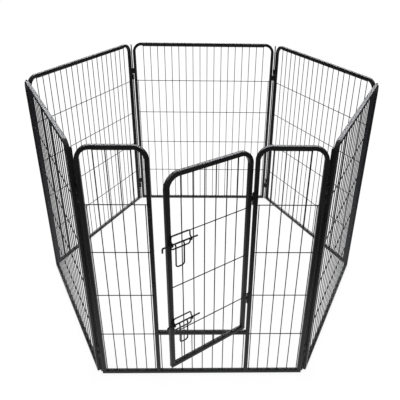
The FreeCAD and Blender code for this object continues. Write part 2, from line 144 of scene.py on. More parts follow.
# ---- powder coat ----
COAT_SHINE, CELL_SMOOTH = 0.5, 0.6
CLOUD_SCALE, CLOUD_DETAIL = 9.0, 5.0       # wide, uneven gloss and shade
GRAIN_SCALE, GRAIN_DETAIL, GRAIN_HEIGHT = 900.0, 3.0, 0.15
SPECKLE, TINT_STOPS, GLOSS_FROM, BUMP_DEPTH = 0.25, (0.32, 0.72), (0.3, 0.7), 0.0008


# ---------------------------------------------------------------- gathering meshes
class Shape:
    """Points and faces in millimetres, gathered before they become one mesh."""

    def __init__(self):
        self.points, self.faces, self.count = [], [], 0

    def add(self, points, faces):
        self.points.append(np.asarray(points, float))
        self.faces += [tuple(i + self.count for i in f) for f in faces]
        self.count += len(points)

    def rings(self, rings, closed=False):
        """Skins equal rings of points; open ends get a cap."""
        k, n = len(rings[0]), len(rings)
        faces = []
        for i in range(n if closed else n - 1):
            a, b = i * k, ((i + 1) % n) * k
            faces += [(a + j, a + (j + 1) % k, b + (j + 1) % k, b + j) for j in range(k)]
        if not closed:
            faces += [tuple(range(k - 1, -1, -1)), tuple(range((n - 1) * k, n * k))]
        self.add(np.concatenate(rings), faces)

    def merge(self, other, matrix):
        for block in other.points:
            self.points.append(block @ matrix[:3, :3].T + matrix[:3, 3])
        self.faces += [tuple(i + self.count for i in f) for f in other.faces]
        self.count += other.count


def turned(origin, degrees):
    """4x4 of a turn about +Z followed by a move."""
    c, s = math.cos(math.radians(degrees)), math.sin(math.radians(degrees))
    m = np.eye(4)
    m[:2, :2] = [[c, -s], [s, c]]
    m[:3, 3] = origin
    return m


def build(name, shape, matrix, body, nodes, slot, material, smooth=SHARP):
    """Turns a shape into a piece that rides on a body and stands for CAD nodes."""
    co = np.concatenate(shape.points) @ matrix[:3, :3].T + matrix[:3, 3]
    mesh = bpy.data.meshes.new(name)
    mesh.from_pydata((co * MM).tolist(), [], shape.faces)
    bm = bmesh.new()
    bm.from_mesh(mesh)
    bmesh.ops.recalc_face_normals(bm, faces=bm.faces)
    bm.to_mesh(mesh)
    bm.free()
    mesh.shade_smooth()
    mesh.set_sharp_from_angle(angle=math.radians(smooth))
    mesh.materials.append(material)
    obj = bpy.data.objects.new(name, mesh)
    bpy.context.scene.collection.objects.link(obj)
    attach(obj, body)
    if nodes:
        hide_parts(*nodes)
    return obj


# ---------------------------------------------------------------- round wire
def sideways(t):
    """Unit vector square to t."""
    side = np.cross(t, [0, 0, 1.0] if abs(t[2]) < 0.9 else [1.0, 0, 0])
    return side / np.linalg.norm(side)


def round_ring(centre, side, up, angles, radius):
    return np.array([centre + radius * (side * math.cos(a) + up * math.sin(a)) for a in angles])


def path_points(points, bends):
    """Corner list to a smooth list of points, with arcs of the given radii."""
    points = [np.asarray(p, float) for p in points]
    out = [points[0]]
    for i in range(1, len(points) - 1):
        a = points[i - 1] - points[i]
        b = points[i + 1] - points[i]
        a, b = a / np.linalg.norm(a), b / np.linalg.norm(b)
        turn = math.acos(max(-1.0, min(1.0, float(a @ b))))
        reach = bends[i - 1] / math.tan(turn / 2)
        start = points[i] + a * reach
        inward = (a + b) / np.linalg.norm(a + b)
        centre = points[i] + inward * (bends[i - 1] / math.sin(turn / 2))
        sweep = math.pi - turn
        steps = max(ARC_STEPS_LEAST, int(math.degrees(sweep) / ARC_STEP))
        u = (start - centre) / bends[i - 1]
        w = -a
        for k in range(steps + 1):
            t = sweep * k / steps
            out.append(centre + bends[i - 1] * (u * math.cos(t) + w * math.sin(t)))
    out.append(points[-1])
    keep = [out[0]]
    for p in out[1:]:
        if np.linalg.norm(p - keep[-1]) > SAME_POINT:
            keep.append(p)
    return keep


def wire(shape, points, bends, radius, sides, rounded=(True, True), closed=False):
    """Round wire along a bent path; a rounded end is a small dome."""
    path = path_points(points, bends)
    if closed and np.linalg.norm(path[0] - path[-1]) < SAME_POINT:
        path = path[:-1]
    n = len(path)
    tangents = []
    for i in range(n):
        before = path[(i - 1) % n] if closed or i else path[0]
        after = path[(i + 1) % n] if closed or i < n - 1 else path[-1]
        t = after - before
        tangents.append(t / np.linalg.norm(t))
    side = sideways(tangents[0])
    rings = []
    angles = np.linspace(0, 2 * math.pi, sides, endpoint=False)
    for p, t in zip(path, tangents):
        side = side - t * (side @ t)
        side /= np.linalg.norm(side)
        up = np.cross(t, side)
        rings.append(round_ring(p, side, up, angles, radius))
    if closed:
        shape.rings(rings, closed=True)
        return
    for end, at in ((0, -1), (1, 1)):
        if rounded[end]:
            ring, tip = (rings[0], path[0]) if end == 0 else (rings[-1], path[-1])
            t = tangents[0] if end == 0 else tangents[-1]
            domes = []
            for f in DOME_LEVELS:
                shrink = math.sqrt(1 - f * f)
                domes.append(tip + (ring - tip) * shrink + t * at * radius * f * DOME_REACH)
            rings = domes[::-1] + rings if end == 0 else rings + domes
    shape.rings(rings)


# ---------------------------------------------------------------- square tube
def square_outline(side, radius, steps):
    """Outline of a rounded square as (across, out) pairs."""
    half = side / 2 - radius
    outline = []
    for quarter in range(4):
        centre_angle = math.pi / 4 + quarter * math.pi / 2
        cx = half * math.copysign(1, math.cos(centre_angle))
        cy = half * math.copysign(1, math.sin(centre_angle))
        for k in range(steps + 1):
            a = quarter * math.pi / 2 + (math.pi / 2) * k / steps
            outline.append((cx + radius * math.cos(a), cy + radius * math.sin(a)))
    return outline


OUTLINE = square_outline(TUBE, TUBE_EDGE_R, EDGE_STEPS)


def tube_ring(centre, out, across, pinch=0.0, tuck=0.0):
    """One ring of square tube. pinch presses the inner wall in, tuck draws the cheeks in."""
    ring = []
    for a, b in OUTLINE:
        inner = max(0.0, -b / (TUBE / 2))
        flat = 1 - (a / (TUBE / 2)) ** 2
        o = b + pinch * inner * (CRIMP_AT_EDGE + (1 - CRIMP_AT_EDGE) * flat)
        s = a * (1 - tuck * inner)
        ring.append(centre + out * o + across * s)
    return np.array(ring)


def arch(shape, x0, x1, z0, z1):
    """Bent frame of square tube, feet at z0, with the folds a bender leaves inside."""
    inset = TUBE / 2
    r = BEND_R - inset
    y = np.array([0, 1.0, 0])
    rings = []
    left, right = np.array([-1.0, 0, 0]), np.array([1.0, 0, 0])
    rings.append(tube_ring(np.array([x0 + inset, 0, z0]), left, y))

    def bend(cx, cz, first):
        for k in range(BEND_STEPS + 1):
            t = k / BEND_STEPS
            a = math.radians(first - 90 * t)
            out = np.array([math.cos(a), 0, math.sin(a)])
            window = min(1.0, CRIMP_FADE * t, CRIMP_FADE * (1 - t))
            fold = 0.5 - 0.5 * math.cos(2 * math.pi * CRIMPS * t)
            pinch = CRIMP_DEPTH * fold * window
            tuck = CHEEK_TUCK * fold * window
            rings.append(tube_ring(np.array([cx, 0, cz]) + out * r, out, y, pinch, tuck))

    bend(x0 + BEND_R, z1 - BEND_R, 180.0)
    bend(x1 - BEND_R, z1 - BEND_R, 90.0)
    rings.append(tube_ring(np.array([x1 - inset, 0, z0]), right, y))
    shape.rings(rings)


def rail(shape, x0, x1, z0):
    """Straight tube along X with closed, slightly crowned ends."""
    up, y = np.array([0, 0, 1.0]), np.array([0, 1.0, 0])
    cz = z0 + TUBE / 2
    rings = []
    ends = [(x0 + d, scale) for d, scale in RAIL_CROWN]
    ends += [(x1 - d, scale) for d, scale in reversed(RAIL_CROWN)]
    for x, scale in ends:
        centre = np.array([x, 0, cz])
        rings.append(centre + (tube_ring(centre, up, y) - centre) * scale)
    shape.rings(rings)


# ---------------------------------------------------------------- welds
def bead(shape, start, end, radius=BEAD_R):
    """Rippled weld bead along a line."""
    start, end = np.asarray(start, float), np.asarray(end, float)
    length = np.linalg.norm(end - start)
    t = (end - start) / length
    side = sideways(t)
    up = np.cross(t, side)
    count = max(5, int(length / BEAD_PITCH * 3))
    angles = np.linspace(0, 2 * math.pi, WELD_SIDES, endpoint=False)
    phase = RNG.random() * BEAD_PHASE
    rings = []
    for i in range(count + 1):
        f = i / count
        taper = math.sqrt(max(BEAD_TIP, 1 - abs(2 * f - 1) ** BEAD_BLUNT))
        ripple = BEAD_BASE + BEAD_RIPPLE * abs(math.sin(phase + math.pi * f * length / BEAD_PITCH))
        r = radius * taper * ripple * (1 - BEAD_UNEVEN / 2 + BEAD_UNEVEN * RNG.random())
        rings.append(round_ring(start + t * length * f, side, up, angles, r))
    shape.rings(rings)


def dab(shape, centre, axis, radius=DAB_R, height=DAB_H):
    """Low dome of weld where a wire meets a tube; axis points along the wire."""
    centre, axis = np.asarray(centre, float), np.asarray(axis, float)
    side = sideways(axis)
    up = np.cross(axis, side)
    angles = np.linspace(0, 2 * math.pi, WELD_SIDES + 1, endpoint=False)
    rings = []
    wobble = [1 - DAB_UNEVEN / 2 + DAB_UNEVEN * RNG.random() for _ in angles]
    for f, h in DAB_PROFILE:
        tip = centre + axis * height * h
        ring = [tip + radius * f * w * (side * math.cos(a) + up * math.sin(a))
                for a, w in zip(angles, wobble)]
        rings.append(np.array(ring))
    shape.rings(rings)


def nugget(shape, centre):
    """Small lump of metal where two wires are spot welded."""
    centre = np.asarray(centre, float)
    angles = np.linspace(0, 2 * math.pi, WELD_SIDES, endpoint=False)
    rings = []
    for f in NUGGET_LEVELS:
        r = NUGGET_R * math.sqrt(1 - f * f) * NUGGET_WIDTH
        y = NUGGET_R * NUGGET_LENGTH * f
        rings.append(np.array([centre + [r * math.cos(a), y, r * math.sin(a)] for a in angles]))
    shape.rings(rings)


def foot_welds(shape, x, z, inner):
    """Beads round the foot of an upright that stands on a rail; inner is the side it shows."""
    h = TUBE / 2
    left, right = x - h + BEAD_IN, x + h - BEAD_IN
    for y in (-h * FOOT_SHARE, h * FOOT_SHARE):
        bead(shape, (left, y, z), (right, y, z), FOOT_FACE_R)
    x_side, z_side = x + inner * h, z + FOOT_RISE
    bead(shape, (x_side, -h + 1, z_side), (x_side, h - 1, z_side))


# ---------------------------------------------------------------- wire mesh
def spread(first, last, count):
    return [first + (last - first) * k / (count - 1) for k in range(count)]


def wire_levels(count):
    return [TUBE + H_SPACE * (k + 1) for k in range(count)]


def straight(shape, a, b):
    wire(shape, [a, b], [], WIRE_R, WIRE_SIDES, (False, False))


def mesh_wires(x0, x1, first, last, count):
    """Wires between upright faces x0 and x1: shapes of uprights, levels and welds."""
    uprights, levels, welds = Shape(), Shape(), Shape()
    zs = wire_levels(HORIZONTALS)
    top = PANEL_H - TUBE
    xs = spread(first, last, count)
    sides = [x0 + SIDE_WIRE_GAP, x1 - SIDE_WIRE_GAP]
    for x in xs:
        straight(uprights, (x, -WIRE_R, TUBE), (x, -WIRE_R, top))
        dab(welds, (x, -WIRE_R, TUBE), (0, 0, 1))
        dab(welds, (x, -WIRE_R, top), (0, 0, -1))
    for x in sides:
        wire(uprights, [(x, -WIRE_R, TUBE), (x, -WIRE_R, zs[-1] + WIRE_R)], [], WIRE_R, WIRE_SIDES,
             (False, True))
        dab(welds, (x, -WIRE_R, TUBE), (0, 0, 1))
    for z in zs:
        straight(levels, (x0, WIRE_R, z), (x1, WIRE_R, z))
        dab(welds, (x0, WIRE_R, z), (1, 0, 0))
        dab(welds, (x1, WIRE_R, z), (-1, 0, 0))
        for x in xs + sides:
            nugget(welds, (x, 0, z))
    border = top - BORDER_DROP
    start, end = first - BORDER_OVERHANG, last + BORDER_OVERHANG
    wire(levels, [(start, WIRE_R, border), (end, WIRE_R, border)], [], WIRE_R, WIRE_SIDES)
    for x in xs:
        nugget(welds, (x, 0, border))
    return uprights, levels, welds


# ---------------------------------------------------------------- hinge straps and pins
def strap(shape, welds, x_pin, z0, side):
    """Strip rolled round a corner pin; side says which way in x its tail reaches to the tube."""
    r_in, r_out = STRAP_BORE_R, STRAP_BORE_R + STRAP_T
    mid = (r_in + r_out) / 2
    centre_line = [(side * PIN_GAP, -mid, 0, -1.0)]
    for k in range(EYE_STEPS + 1):
        a = math.radians(-90 - side * EYE_SWEEP * k / EYE_STEPS)
        c, s = math.cos(a), math.sin(a)
        centre_line.append((mid * c, mid * s, c, s))
    h, t, edge = STRAP_H / 2, STRAP_T / 2, STRAP_EDGE
    rings = []
    for x, y, nx, ny in centre_line:
        ring = []
        for u, v in ((t, h - edge), (t - edge, h), (edge - t, h), (-t, h - edge),
                     (-t, edge - h), (edge - t, -h), (t - edge, -h), (t, edge - h)):
            ring.append((x_pin + x + nx * u, PIN_IN + y + ny * u, z0 + h + v))
        rings.append(np.array(ring))
    shape.rings(rings)
    x = x_pin + side * (PIN_GAP - TAIL_TUCK)
    for y in (PIN_IN - r_in, PIN_IN - r_out):
        bead(welds, (x, y, z0 + BEAD_IN), (x, y, z0 + STRAP_H - BEAD_IN), TAIL_WELD_R)


def straps():
    shape, welds = Shape(), Shape()
    for z in STRAP_BOTTOMS["start"]:
        strap(shape, welds, -PITCH / 2, z, 1)
    for z in STRAP_BOTTOMS["end"]:
        strap(shape, welds, PITCH / 2, z, -1)
    return shape, welds


def corner_pin():
    shape = Shape()
    top = PIN_TOP - PIN_R
    tip = PIN_HEAD_R + PIN_HEAD_REACH - PIN_DOME
    points = [(0, 0, 0), (0, 0, top), (0, -tip, top)]
    wire(shape, points, [PIN_HEAD_R], PIN_R, ROD_SIDES, (False, True))
    return shape


# ---------------------------------------------------------------- materials
def node(tree, kind, **inputs):
    """New shader node; inputs are named as on the node, with _ for a space."""
    n = tree.nodes.new("ShaderNode" + kind)
    for key, value in inputs.items():
        n.inputs[key.replace("_", " ")].default_value = value
    return n


def math_node(tree, operation, *inputs):
    """Sum node; a number sets an input, anything else is linked to it."""
    n = tree.nodes.new("ShaderNodeMath")
    n.operation = operation
    for i, value in enumerate(inputs):
        if isinstance(value, float):
            n.inputs[i].default_value = value
        else:
            tree.links.new(value, n.inputs[i])
    return n.outputs[0]


def blank_material(name):
    """Material with nothing but its output; returns it, its tree and the surface socket."""
    material = bpy.data.materials.new(name)
    material.use_nodes = True
    tree = material.node_tree
    tree.nodes.clear()
    return material, tree, node(tree, "OutputMaterial").inputs["Surface"]


def coat(name, dark, light, rough, hammer, cell):
    """Black powder coat: hammered skin with cells of the given size in mm, and uneven gloss."""
    material, tree, surface = blank_material(name)
    link = tree.links.new
    skin = node(tree, "BsdfPrincipled", Specular_IOR_Level=COAT_SHINE)
    link(skin.outputs["BSDF"], surface)
    place = node(tree, "TexCoord").outputs["Object"]
    cells = node(tree, "TexVoronoi", Scale=1 / (cell * MM))
    cells.feature = "SMOOTH_F1"
    cells.inputs["Smoothness"].default_value = CELL_SMOOTH
    cloud = node(tree, "TexNoise", Scale=CLOUD_SCALE, Detail=CLOUD_DETAIL)
    grain = node(tree, "TexNoise", Scale=GRAIN_SCALE, Detail=GRAIN_DETAIL)
    for texture in (cells, cloud, grain):
        link(place, texture.inputs["Vector"])
    speckle = math_node(tree, "MULTIPLY", cells.outputs["Distance"], SPECKLE)
    tint = node(tree, "ValToRGB")
    for stop, at, colour in zip(tint.color_ramp.elements, TINT_STOPS, (dark, light)):
        stop.position, stop.color = at, (*colour, 1)
    link(math_node(tree, "ADD", cloud.outputs["Fac"], speckle), tint.inputs["Fac"])
    link(tint.outputs["Color"], skin.inputs["Base Color"])
    gloss = node(tree, "MapRange", From_Min=GLOSS_FROM[0], From_Max=GLOSS_FROM[1],
                 To_Min=rough[0], To_Max=rough[1])
    link(cloud.outputs["Fac"], gloss.inputs["Value"])
    link(gloss.outputs["Result"], skin.inputs["Roughness"])
    height = math_node(tree, "MULTIPLY_ADD", grain.outputs["Fac"], GRAIN_HEIGHT,
                       cells.outputs["Distance"])
    bump = node(tree, "Bump", Strength=hammer, Distance=BUMP_DEPTH)
    link(height, bump.inputs["Height"])
    link(bump.outputs["Normal"], skin.inputs["Normal"])
    return material


FRAME = ("frame_coat", coat("hammered_coat", (0.003, 0.003, 0.0035), (0.009, 0.009, 0.010),
                            (0.24, 0.38), 0.55, 3.2))
WIRE = ("wire_coat", coat("wire_coat", (0.005, 0.005, 0.008), (0.012, 0.013, 0.018),
                          (0.3, 0.42), 0.25, 2.2))
HARDWARE = ("hardware_coat", coat("hardware_coat", (0.003, 0.003, 0.0035), (0.008, 0.008, 0.009),
                                  (0.28, 0.42), 0.4, 2.4))


# ---------------------------------------------------------------- plain panels
def plain_panel(name, origin, angle):
    half = PANEL_W / 2
    body = name + "_panel"
    m = turned(origin, angle)
    frame_tube, bottom, weld = Shape(), Shape(), Shape()
    arch(frame_tube, -half, half, TUBE, PANEL_H)
    rail(bottom, -half, half, 0)
    foot_welds(weld, -half + TUBE / 2, TUBE, 1)
    foot_welds(weld, half - TUBE / 2, TUBE, -1)
    uprights, levels, dabs = mesh_wires(-half + TUBE, half - TUBE, -LAST_VERTICAL, LAST_VERTICAL,
                                        VERTICALS)
    lugs, lug_welds = straps()
    weld.merge(lug_welds, np.eye(4))
    build(name + "_tube", frame_tube, m, body, [name + "_frame"], *FRAME)
    build(name + "_rail", bottom, m, body, [name + "_bottom_rail"], *FRAME)
    build(name + "_welds", weld, m, body, [], *FRAME, SHARP_WELD)
    build(name + "_uprights", uprights, m, body, [name + "_vertical_wires"], *WIRE)
    build(name + "_levels", levels, m, body, [name + "_horizontal_wires"], *WIRE)
    build(name + "_spot_welds", dabs, m, body, [], *WIRE, SHARP_WELD)
    build(name + "_straps", lugs, m, body, [name + "_hinge_straps"], *HARDWARE, SHARP_STRAP)


# ---------------------------------------------------------------- front panel
def mirrored(shape):
    flip = np.eye(4)
    flip[0, 0] = -1
    other = Shape()
    other.merge(shape, flip)
    return other


def staple_points(x, y0, y1, z, half):
    return [(x, y0, z + half), (x, y1, z + half), (x, y1, z - half), (x, y0, z - half)]


def hinge_leaf(shape, welds, side, z0, end_knuckles):
    """Leaf with rolled knuckles, in the hinge axis frame; side +1 on the post, -1 on the door."""
    y_face = -AXIS_Y - TUBE / 2
    clear = KNUCKLE_R + KNUCKLE_GAP
    knuckle_h = KNUCKLE_H if end_knuckles else HINGE_H - 2 * (KNUCKLE_H + KNUCKLE_GAP)
    zs = [z0, z0 + HINGE_H - KNUCKLE_H] if end_knuckles else [z0 + KNUCKLE_H + KNUCKLE_GAP]
    plate_box(shape, side * clear, side * LEAF_REACH, y_face - LEAF_T, y_face, z0, z0 + HINGE_H,
              LEAF_EDGE)
    for z in zs:
        turned_piece(shape, KNUCKLE_SIDES, [
            (z, KNUCKLE_R * KNUCKLE_CROWN), (z + KNUCKLE_BREAK, KNUCKLE_R),
            (z + knuckle_h - KNUCKLE_BREAK, KNUCKLE_R), (z + knuckle_h, KNUCKLE_R * KNUCKLE_CROWN)])
        plate_box(shape, 0, side * (clear + TAB_LAP), y_face - LEAF_T, y_face - TAB_BACK, z,
                  z + knuckle_h, TAB_EDGE)
    x, y = side * (LEAF_REACH - LEAF_WELD_TUCK), y_face - LEAF_WELD_OUT
    bead(welds, (x, y, z0 + LEAF_WELD_IN), (x, y, z0 + HINGE_H - LEAF_WELD_IN), LEAF_WELD_R)
    near, far = side * (clear + LEAF_WELD_IN), side * (LEAF_REACH - LEAF_WELD_IN)
    for z in (z0, z0 + HINGE_H):
        bead(welds, (near, y, z), (far, y, z), LEAF_END_WELD_R)


def plate_box(shape, x0, x1, y0, y1, z0, z1, edge):
    """Flat plate with broken edges, its thickness along Y."""
    x0, x1 = min(x0, x1), max(x0, x1)
    corner = LEAF_CORNER_R
    rings = []
    back_edge = edge * BACK_EDGE
    for y, inset in ((y0, edge), (y0 + edge, 0.0), (y1 - back_edge, 0.0), (y1, back_edge)):
        ring = []
        for cx, cz, first in ((x1 - corner, z1 - corner, 0), (x0 + corner, z1 - corner, 90),
                              (x0 + corner, z0 + corner, 180), (x1 - corner, z0 + corner, 270)):
            for k in range(4):
                a = math.radians(first + 30 * k)
                r = corner - inset
                ring.append((cx + r * math.cos(a), y, cz + r * math.sin(a)))
        rings.append(np.array(ring))
    shape.rings(rings)


def turned_piece(shape, sides, profile):
    """Round piece about Z from (height, radius) pairs."""
    rings = []
    angles = np.linspace(0, 2 * math.pi, sides, endpoint=False)
    for z, r in profile:
        rings.append(np.array([(r * math.cos(a), r * math.sin(a), z) for a in angles]))
    shape.rings(rings)


def hinge_pin(shape, z0):
    """Pin with a riveted head at both ends."""
    top = z0 + HINGE_H
    crown = RIVET_R * RIVET_CROWN
    turned_piece(shape, ROD_SIDES, [
        (z0 - RIVET_H, crown), (z0 - RIVET_H / 2, RIVET_R), (z0 - RIVET_STEP, RIVET_R),
        (z0, HINGE_PIN_R), (top, HINGE_PIN_R),
        (top + RIVET_STEP, RIVET_R), (top + RIVET_H / 2, RIVET_R), (top + RIVET_H, crown)])


def front_panel():
    body, half = "front_panel", PANEL_W / 2
    m = np.eye(4)
    bottom, sill, weld, arch_r, short = Shape(), Shape(), Shape(), Shape(), Shape()
    sill_z = THRESHOLD_TOP - TUBE
    rail(bottom, -half, half, 0)
    rail(sill, -DOORWAY_HALF, DOORWAY_HALF, sill_z)
    arch(arch_r, DOORWAY_HALF, half, TUBE, PANEL_H)
    for x, inner in ((half - TUBE / 2, -1), (DOORWAY_HALF + TUBE / 2, -1)):
        foot_welds(weld, x, TUBE, inner)
        foot_welds(weld, -x, TUBE, -inner)
    for side in (-1, 1):
        x = side * (DOORWAY_HALF - SILL_TUCK)
        for y in (-SILL_WELD_Y, SILL_WELD_Y):
            bead(weld, (x, y, sill_z + BEAD_IN), (x, y, THRESHOLD_TOP - BEAD_IN), SILL_WELD_R)
        for z in (sill_z, THRESHOLD_TOP):
            bead(weld, (x, BEAD_IN - TUBE / 2, z), (x, TUBE / 2 - BEAD_IN, z), SILL_WELD_R)
    uprights, levels, dabs = mesh_wires(DOORWAY_HALF + TUBE, half - TUBE, ARCH_FIRST, LAST_VERTICAL,
                                        ARCH_VERTICALS)
    last = THRESHOLD_PITCH * (THRESHOLD_VERTICALS - 1) / 2
    short_dabs = Shape()
    for x in spread(-last, last, THRESHOLD_VERTICALS):
        straight(short, (x, -WIRE_R, TUBE), (x, -WIRE_R, sill_z))
        dab(short_dabs, (x, -WIRE_R, TUBE), (0, 0, 1))
        dab(short_dabs, (x, -WIRE_R, sill_z), (0, 0, -1))
    lugs, lug_welds = straps()
    weld.merge(lug_welds, m)
    keepers = Shape()
    for z in BOLT_HEIGHTS.values():
        wire(keepers, staple_points(KEEPER_X, -TUBE / 2, AXIS_Y - KINK_T, z, KEEPER_HALF),
             [KEEPER_R, KEEPER_R], BOLT_WIRE_R, BOLT_WIRE_SIDES, (False, False))
        for end in (-1, 1):
            dab(weld, (KEEPER_X, -TUBE / 2, z + end * KEEPER_HALF), (0, -1, 0), KEEPER_DAB_R,
                KEEPER_DAB_H)
    leaves, pins = Shape(), Shape()
    axis = turned((AXIS_X, AXIS_Y, 0), 0)
    leaf_welds = Shape()
    for z in HINGE_BOTTOMS:
        hinge_leaf(leaves, leaf_welds, 1, z, True)
        hinge_pin(pins, z)
    weld.merge(leaf_welds, axis)
    build("front_rail", bottom, m, body, ["front_bottom_rail"], *FRAME)
    build("front_sill", sill, m, body, ["front_threshold_rail"], *FRAME)
    build("front_arch_right", arch_r, m, body, ["front_right_arch"], *FRAME)
    build("front_arch_left", mirrored(arch_r), m, body, ["front_left_arch"], *FRAME)
    build("front_welds", weld, m, body, [], *FRAME, SHARP_WELD)
    for side, flip in (("right", lambda s: s), ("left", mirrored)):
        cad = "front_" + side
        build("front_uprights_" + side, flip(uprights), m, body, [cad + "_vertical_wires"], *WIRE)
        build("front_levels_" + side, flip(levels), m, body, [cad + "_horizontal_wires"], *WIRE)
        build("front_spot_welds_" + side, flip(dabs), m, body, [], *WIRE, SHARP_WELD)
    build("front_sill_wires", short, m, body, ["front_threshold_wires"], *WIRE)
    build("front_sill_dabs", short_dabs, m, body, [], *WIRE, SHARP_WELD)
    build("front_straps", lugs, m, body, ["front_hinge_straps"], *HARDWARE, SHARP_STRAP)
    build("keepers", keepers, m, body, ["bolt_keepers"], *HARDWARE)
    build("hinge_leaves_fixed", leaves, axis, body, ["door_fixed_hinge_leaves"], *HARDWARE)
    build("hinge_pins", pins, axis, body, ["door_hinge_pins"], *HARDWARE)


# ---------------------------------------------------------------- door
DOOR_M = turned((AXIS_X, AXIS_Y, 0), DOOR_OPEN)


def door():
    body = "door"
    far, near = -DOOR_GAP - DOOR_W, -DOOR_GAP
    plane = turned((0, -DOOR_T, 0), 0)
    m = DOOR_M @ plane
    tube, bottom, weld, uprights, levels, dabs = (Shape() for _ in range(6))
    foot = DOOR_BOTTOM + TUBE
    arch(tube, far, near, foot, DOOR_TOP)
    rail(bottom, far, near, DOOR_BOTTOM)
    foot_welds(weld, far + TUBE / 2, foot, 1)
    foot_welds(weld, near - TUBE / 2, foot, -1)
    space = (DOOR_W - 2 * TUBE) / (DOOR_VERTICALS + 1)
    first = far + TUBE + space - DOOR_WIRE_SHIFT
    last = near - TUBE - space - DOOR_WIRE_SHIFT
    xs = spread(first, last, DOOR_VERTICALS)
    for x in xs:
        straight(uprights, (x, -WIRE_R, foot), (x, -WIRE_R, DOOR_TOP - TUBE))
        dab(dabs, (x, -WIRE_R, foot), (0, 0, 1))
        dab(dabs, (x, -WIRE_R, DOOR_TOP - TUBE), (0, 0, -1))
    for z in [level - DOOR_LEVEL_DROP for level in wire_levels(HORIZONTALS)[1:]]:
        straight(levels, (far + TUBE, WIRE_R, z), (near - TUBE, WIRE_R, z))
        dab(dabs, (far + TUBE, WIRE_R, z), (1, 0, 0))
        dab(dabs, (near - TUBE, WIRE_R, z), (-1, 0, 0))
        for x in xs:
            nugget(dabs, (x, 0, z))
    leaves, leaf_welds = Shape(), Shape()
    for z in HINGE_BOTTOMS:
        hinge_leaf(leaves, leaf_welds, -1, z, False)
    build("door_tube", tube, m, body, ["door_frame"], *FRAME)
    build("door_rail", bottom, m, body, ["door_bottom_rail"], *FRAME)
    build("door_welds", weld, m, body, [], *FRAME, SHARP_WELD)
    build("door_uprights", uprights, m, body, ["door_vertical_wires"], *WIRE)
    build("door_levels", levels, m, body, ["door_horizontal_wires"], *WIRE)
    build("door_spot_welds", dabs, m, body, [], *WIRE, SHARP_WELD)
    build("door_leaves", leaves, DOOR_M, body, ["door_moving_hinge_leaves"], *HARDWARE)
    build("door_leaf_welds", leaf_welds, DOOR_M, body, [], *HARDWARE, SHARP_WELD)


# ---------------------------------------------------------------- slide bolts
def door_point(s, t, z):
    return (-s, -t, z)


def kinked_side(s, z):
    return [door_point(s, GUIDE_T, z + KINK_BASE), door_point(s, KINK_T, z + KINK_TOP),
            door_point(s, KINK_T, z - KINK_TOP), door_point(s, GUIDE_T, z - KINK_BASE)]


def bolt(which):
    z = BOLT_HEIGHTS[which]
    shift = BOLT_SHIFT[which]
    top = z + GUIDE_TOP[which]
    low = top - GUIDE_HEIGHT
    middle = (GUIDE_NEAR + GUIDE_FAR) / 2
    points = [door_point(middle, GUIDE_T, top), door_point(GUIDE_NEAR, GUIDE_T, top)]
    points += kinked_side(GUIDE_NEAR, z)
    points += [door_point(GUIDE_NEAR, GUIDE_T, low), door_point(GUIDE_FAR, GUIDE_T, low)]
    points += kinked_side(GUIDE_FAR, z)[::-1]
    points += [door_point(GUIDE_FAR, GUIDE_T, top), door_point(middle, GUIDE_T, top)]
    kink = [KINK_R] * 4
    bends = [GUIDE_CORNER_R] + kink + [GUIDE_CORNER_R] * 2 + kink + [GUIDE_CORNER_R]
    guide = Shape()
    wire(guide, points, bends, BOLT_WIRE_R, BOLT_WIRE_SIDES, closed=True)
    weld_t = DOOR_FACE_T + GUIDE_WELD_RISE
    upper = (z + KINK_BASE + 1, top - GUIDE_WELD_IN)
    lower = (low + GUIDE_WELD_IN, z - KINK_BASE - 1)
    for a, b in (upper, lower):
        for s in (GUIDE_FAR - GUIDE_WELD_OUT, GUIDE_FAR + GUIDE_WELD_OUT):
            bead(guide, door_point(s, weld_t, a), door_point(s, weld_t, b), GUIDE_WELD_R)
    rod, hook, handle = Shape(), Shape(), Shape()
    start, end, reach = ROD_NEAR + shift, ROD_FAR + shift, HOOK_REACH + shift
    wire(rod, [door_point(start + ROD_DOME, BOLT_T, z), door_point(end, BOLT_T, z)], [],
         BOLT_ROD_R, ROD_SIDES, (True, False))
    wire(hook, [door_point(end + ROD_GAP, BOLT_T, z), door_point(reach, BOLT_T, z),
                door_point(reach, BOLT_T, z - HOOK_DROP + ROD_DOME)], [HOOK_R],
         BOLT_ROD_R, ROD_SIDES, (False, True))
    near, far = HANDLE_NEAR + shift, HANDLE_FAR + shift
    shoulder, bottom = z - HANDLE_SHOULDER, z - HANDLE_DROP
    root_t, root_z = BOLT_T + GRIP_SINK, z - GRIP_DROP
    wire(handle, [door_point(near, root_t, root_z), door_point(near, HANDLE_TOP_T, shoulder),
                  door_point(near, HANDLE_LOW_T, bottom), door_point(far, HANDLE_LOW_T, bottom),
                  door_point(far, HANDLE_TOP_T, shoulder), door_point(far, root_t, root_z)],
         [HANDLE_SHOULDER_R, HANDLE_CORNER_R, HANDLE_CORNER_R, HANDLE_SHOULDER_R], BOLT_WIRE_R,
         BOLT_WIRE_SIDES, (False, False))
    weld_t, weld_z = BOLT_T + GRIP_WELD_T, z - GRIP_WELD_DROP
    for s in (near, far):
        bead(handle, door_point(s - GRIP_WELD_HALF, weld_t, weld_z),
             door_point(s + GRIP_WELD_HALF, weld_t, weld_z), GRIP_WELD_R)
    shaft, grip = which + "_bolt", which + "_bolt_grip"
    build(which + "_guide", guide, DOOR_M, "door", [which + "_bolt_guide"], *HARDWARE)
    build(which + "_rod", rod, DOOR_M, shaft, [which + "_bolt_rod"], *HARDWARE)
    build(which + "_hook", hook, DOOR_M, grip, [which + "_bolt_hook"], *HARDWARE)
    build(which + "_handle", handle, DOOR_M, grip, [which + "_bolt_handle"], *HARDWARE)


